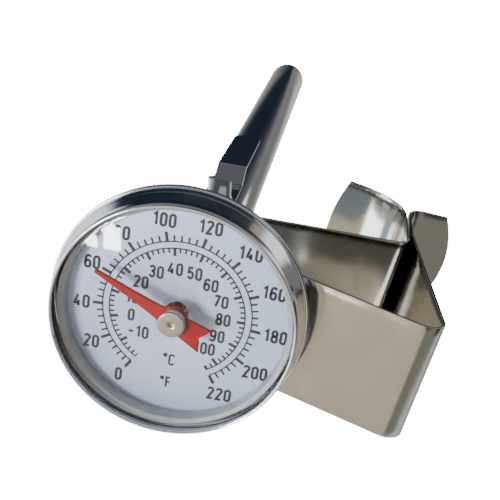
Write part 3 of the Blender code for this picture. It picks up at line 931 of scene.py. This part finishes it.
# The camera, about the dial: its place in millimetres, and the directions to its right and behind it.
CAMERA_AT = (14.08, 48.09, 93.55)
CAMERA_RIGHT = (0.98164, 0.14158, -0.12781)
CAMERA_BACK = (0.06530, 0.38013, 0.92263)
SENSOR_WIDTH, FOCAL_LENGTH, NEAREST = 36.0, 64.2, 0.005


def make_camera():
    camera = new_object("camera", bpy.data.cameras.new("camera"))
    camera.data.sensor_width = SENSOR_WIDTH
    camera.data.lens = FOCAL_LENGTH
    camera.data.clip_start = NEAREST
    right, back = Vector(CAMERA_RIGHT), Vector(CAMERA_BACK)
    basis = Matrix((right, back.cross(right), back)).transposed().to_4x4()
    basis.translation = Vector(CAMERA_AT) * MM
    camera.matrix_world = ON_DIAL @ basis
    bpy.context.scene.camera = camera


# The background's brightness, the floor's half side, and its drop below the CAD box, in metres.
BACKDROP = 16.0
FLOOR_HALF = 3.0
FLOOR_DROP = 0.135
# The studio that the metal reflects. Its upper part is one soft light. Its lower part has a colour
# for each azimuth, and fades into the upper part between two values of a direction's Z.
NAVY = (0.014, 0.023, 0.037)
UPPER_STUDIO = (0.95, 0.95, 0.97)
UNDER_FADE = (-0.7, -0.2)
UNDER_STUDIO = [
    (-180, (0.05, 0.058, 0.065)), (-165, (0.12, 0.127, 0.13)), (-150, (0.22, 0.22, 0.22)),
    (-135, (0.34, 0.34, 0.33)), (-120, (0.64, 0.64, 0.62)), (-50, (0.63, 0.63, 0.58)),
    (-35, (0.36, 0.36, 0.34)), (-20, (0.22, 0.22, 0.20)), (0, (0.20, 0.205, 0.19)),
    (22, (0.225, 0.225, 0.225)), (40, (0.13, 0.135, 0.14)), (52, (0.07, 0.076, 0.082)),
    (62, (0.038, 0.043, 0.05)), (80, (0.02, 0.028, 0.038)), (95, NAVY), (155, NAVY),
    (170, (0.027, 0.036, 0.044)), (180, (0.05, 0.058, 0.065)),
]
# Each soft card: azimuth and elevation, how many degrees off it is full and gone, and its colour.
CARDS = [
    (100, 10, 30, 60, (0.13, 0.135, 0.14)),
    (10, 15, 25, 45, (0.06, 0.06, 0.06)),
    (-20, 50, 22, 45, (0.34, 0.33, 0.29)),
    (20, 60, 10, 25, (0.08, 0.08, 0.08)),
    (-120, 62, 25, 40, (0.98, 0.86, 0.69)),
    (-162, -52, 10, 22, (1.3, 1.35, 1.5)),
    (-160, -28, 16, 26, (0.66, 0.82, 1.02)),
    (-158, 22, 18, 28, (6.0, 6.2, 6.5)),
    (50, -46, 3, 8, (0.46, 0.39, 0.32)),
    (34, -42, 6, 13, (1.3, 1.3, 1.35)),
    (22, -62, 3, 7, (1.8, 1.85, 1.95)),
]
# The window: its azimuth and elevation, how far it reaches each way, half the width of its bars,
# the softness of its outline and of the bars, and its light.
WINDOW_AT = (-166, 60)
WINDOW_HALF = (0.12, 0.10)
WINDOW_BAR = 0.012
WINDOW_SOFT, BAR_SOFT = 0.01, 0.006
WINDOW_LIGHT = (90.0, 91.0, 92.0)


def make_floor():
    """A plain pale floor, below the sheath's full travel. It is left out of reflections."""
    z = CAD_BOX[0].z - FLOOR_DROP
    mesh = bpy.data.meshes.new("floor")
    turns = ((-1, -1), (1, -1), (1, 1), (-1, 1))
    mesh.from_pydata([(FLOOR_HALF * x, FLOOR_HALF * y, z) for x, y in turns], [], [(0, 1, 2, 3)])
    floor = new_object("floor", mesh)
    made, tree, shader = new_material("pale_floor")
    soft = noise(tree, coordinates(tree), 3.0)
    tone = colored(tree, soft, [(0.3, (0.88, 0.88, 0.88)), (0.7, (0.9, 0.9, 0.9))])
    tree.links.new(tone, shader.inputs["Base Color"])
    shader.inputs["Roughness"].default_value = 0.9
    glow = node(tree, "ShaderNodeEmission")
    glow.inputs["Strength"].default_value = BACKDROP
    seen = node(tree, "ShaderNodeLightPath").outputs["Is Camera Ray"]
    mixed_surface(tree, seen, shader.outputs["BSDF"], glow.outputs["Emission"])
    floor.data.materials.append(made)
    floor.visible_glossy = False


def direction(azimuth, elevation):
    """The unit vector towards a place in the studio, in degrees about the row frame."""
    a, e = math.radians(azimuth), math.radians(elevation)
    return (math.cos(a) * math.cos(e), math.sin(a) * math.cos(e), math.sin(e))


def part_along(tree, ray, axis):
    """How far a ray's direction goes along an axis."""
    made = node(tree, "ShaderNodeVectorMath", operation="DOT_PRODUCT")
    made.inputs[1].default_value = axis
    tree.links.new(ray, made.inputs[0])
    return made.outputs["Value"]


def laid_over(tree, light, share, color):
    """The light, with a colour laid over it by its share."""
    layer = node(tree, "ShaderNodeMix", data_type="RGBA")
    layer.inputs["B"].default_value = (*color, 1.0)
    tree.links.new(share, layer.inputs["Factor"])
    tree.links.new(light, layer.inputs["A"])
    return layer.outputs["Result"]


def room_light(tree, ray):
    """The room without its cards: dark, grey and light sides low down, and soft light above."""
    parts = node(tree, "ShaderNodeSeparateXYZ")
    tree.links.new(ray, parts.inputs["Vector"])
    azimuth = calculated(tree, "ARCTAN2", parts.outputs["Y"], parts.outputs["X"])
    turn = ranged(tree, azimuth, -math.pi, math.pi, 0.0, 1.0)
    low = colored(tree, turn, [((angle + 180) / 360, color) for angle, color in UNDER_STUDIO])
    rise = ranged(tree, parts.outputs["Z"], *UNDER_FADE, 0.0, 1.0)
    return laid_over(tree, low, rise, UPPER_STUDIO)


def with_card(tree, ray, light, azimuth, elevation, inner, outer, color):
    """The light with a soft round card over it."""
    edge, core = math.cos(math.radians(outer)), math.cos(math.radians(inner))
    share = ranged(tree, part_along(tree, ray, direction(azimuth, elevation)), edge, core, 0.0, 1.0)
    share.node.interpolation_type = "SMOOTHSTEP"
    return laid_over(tree, light, share, color)


def with_window(tree, ray, light):
    """The light with a small four-pane window over it."""
    toward = Vector(direction(*WINDOW_AT))
    side = toward.cross(Vector((0, 0, 1))).normalized()
    share = calculated(tree, "GREATER_THAN", part_along(tree, ray, toward))
    for across, half in ((side, WINDOW_HALF[0]), (side.cross(toward), WINDOW_HALF[1])):
        off = calculated(tree, "ABSOLUTE", part_along(tree, ray, across))
        for low, high in ((half, half - WINDOW_SOFT), (WINDOW_BAR, WINDOW_BAR + BAR_SOFT)):
            part = ranged(tree, off, low, high, 0.0, 1.0)
            share = calculated(tree, "MULTIPLY", share, part)
    return laid_over(tree, light, share, WINDOW_LIGHT)


def make_studio():
    """Soft cards and dark gaps by direction for reflections, and a plain near-white backdrop."""
    world = bpy.data.worlds.new("studio")
    bpy.context.scene.world = world
    world.use_nodes = True
    tree = world.node_tree
    ray = node(tree, "ShaderNodeTexCoord").outputs["Generated"]
    light = room_light(tree, ray)
    for card in CARDS:
        light = with_card(tree, ray, light, *card)
    light = with_window(tree, ray, light)
    lit = tree.nodes["Background"]
    tree.links.new(light, lit.inputs["Color"])
    plain = node(tree, "ShaderNodeBackground")
    plain.inputs["Color"].default_value = (1.0, 1.0, 1.0, 1.0)
    plain.inputs["Strength"].default_value = BACKDROP
    seen = node(tree, "ShaderNodeLightPath").outputs["Is Camera Ray"]
    lit, plain = lit.outputs["Background"], plain.outputs["Background"]
    mixed_surface(tree, seen, lit, plain, output="World Output")


make_camera()
make_floor()
make_studio()
